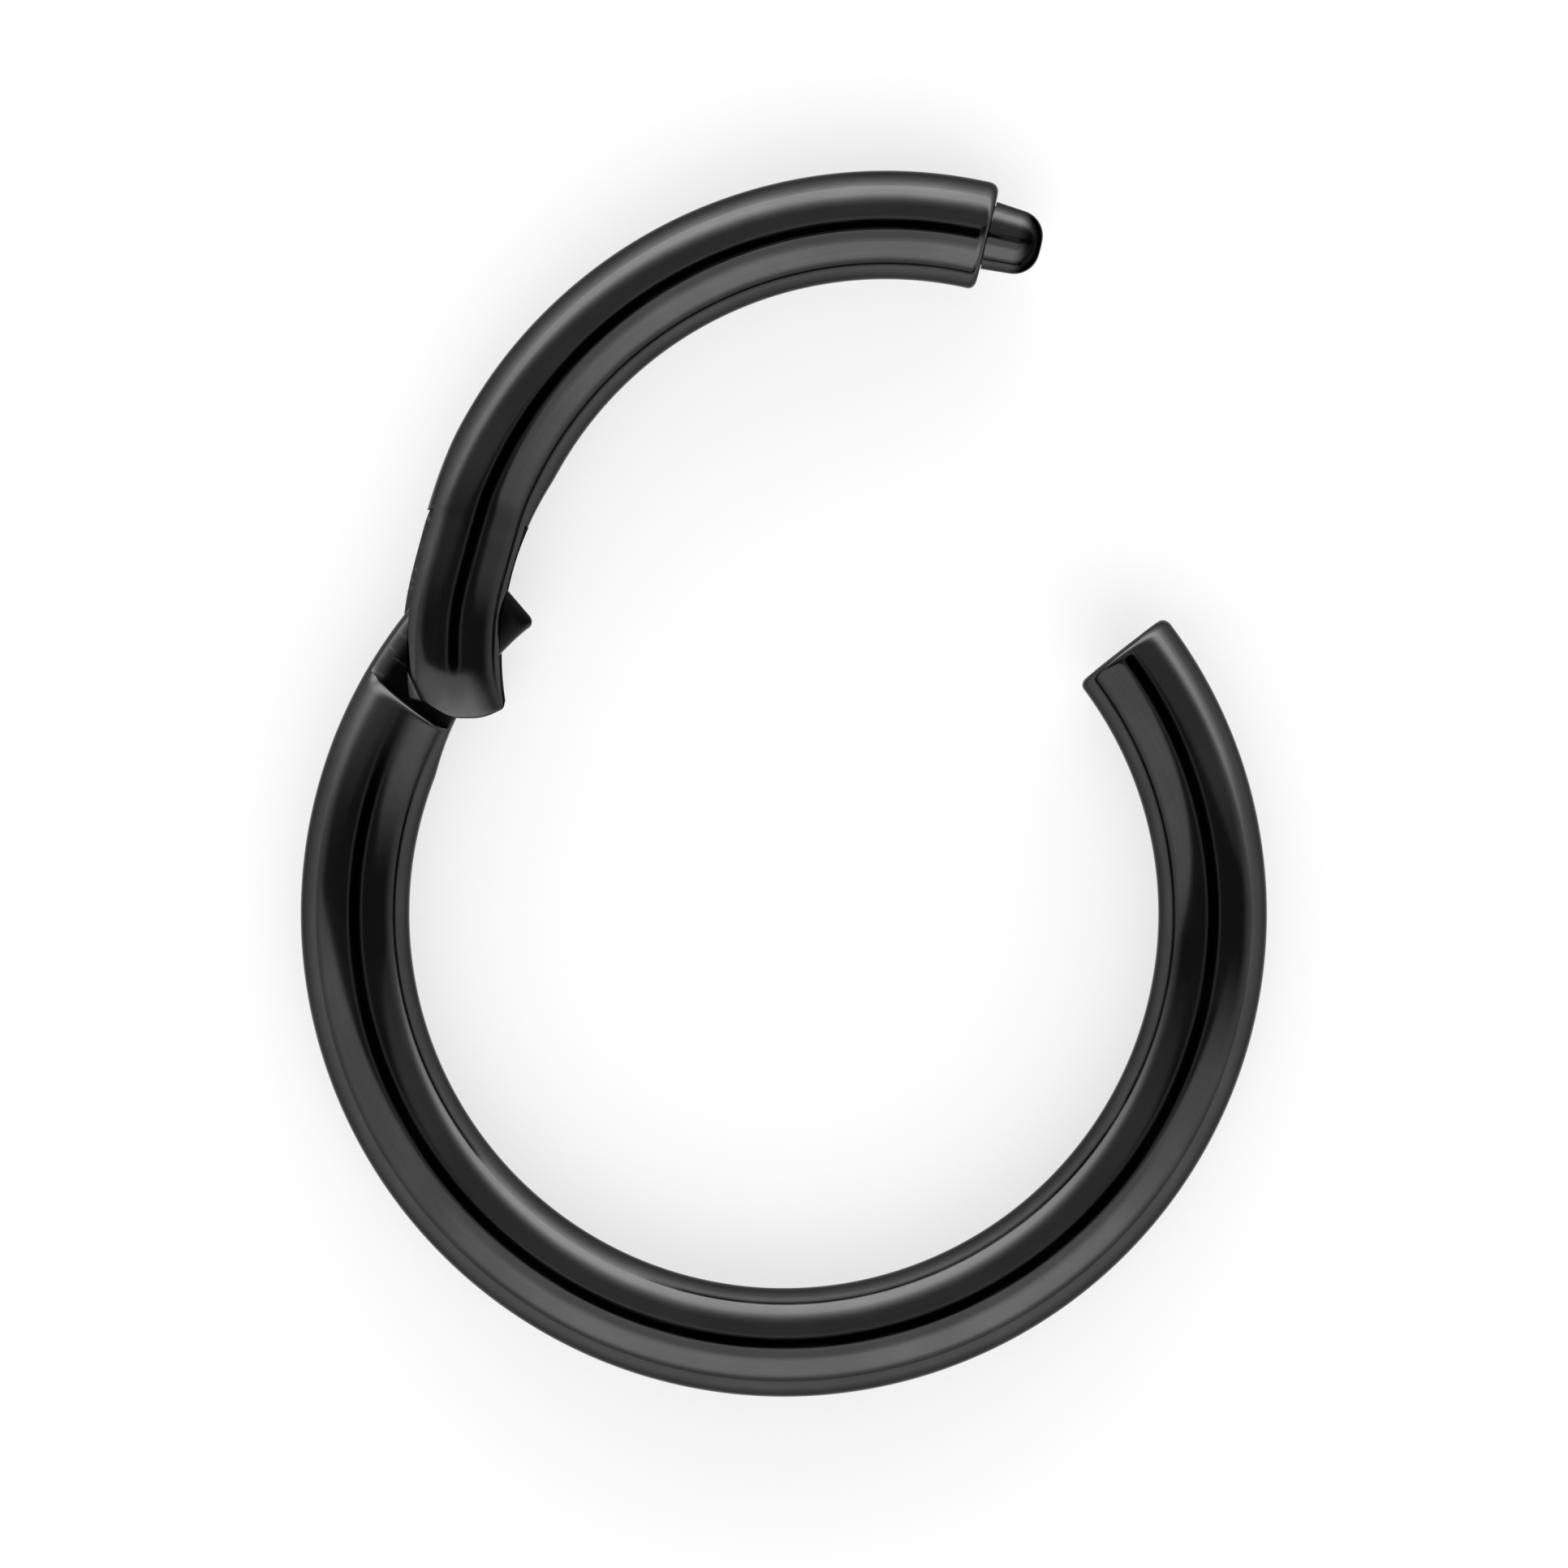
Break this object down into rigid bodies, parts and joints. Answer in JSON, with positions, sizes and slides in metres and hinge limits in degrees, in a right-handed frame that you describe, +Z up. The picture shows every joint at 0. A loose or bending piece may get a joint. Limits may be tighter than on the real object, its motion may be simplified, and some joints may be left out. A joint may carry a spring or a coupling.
{
  "type": "hinged segment ring",
  "caption": "Round wire ring for a piercing whose upper arc swings open on a tongue and cheek hinge and shuts with a blunt pin in a socket, in glossy black coated steel.",
  "frame": {"origin": "under the middle of the opened ring's box, on the surface that the ring lies on", "axes": "+X across the ring from the hinge to the mouth, +Y towards the open segment, +Z up along the hinge axis"},
  "size_m": [0.0142, 0.018, 0.0016],
  "materials": {
    "coated_wire": "glossy black vapour-deposited coating on polished steel",
    "coated_pin": "glossy black vapour-deposited coating on turned steel"
  },
  "bodies": {
    "ring": {"ring_arc": "coated_wire"},
    "segment": {"hinged_segment": "coated_wire", "hinge_pin": "coated_pin", "clasp_pin": "coated_pin"}
  },
  "joints": [
    {"name": "segment_hinge", "type": "hinge", "parent": "ring", "child": "segment", "pos_m": [-0.0048, 0.00217, 0.0008], "axis": [0, 0, 1], "range_deg": [-38, 52]}
  ]
}
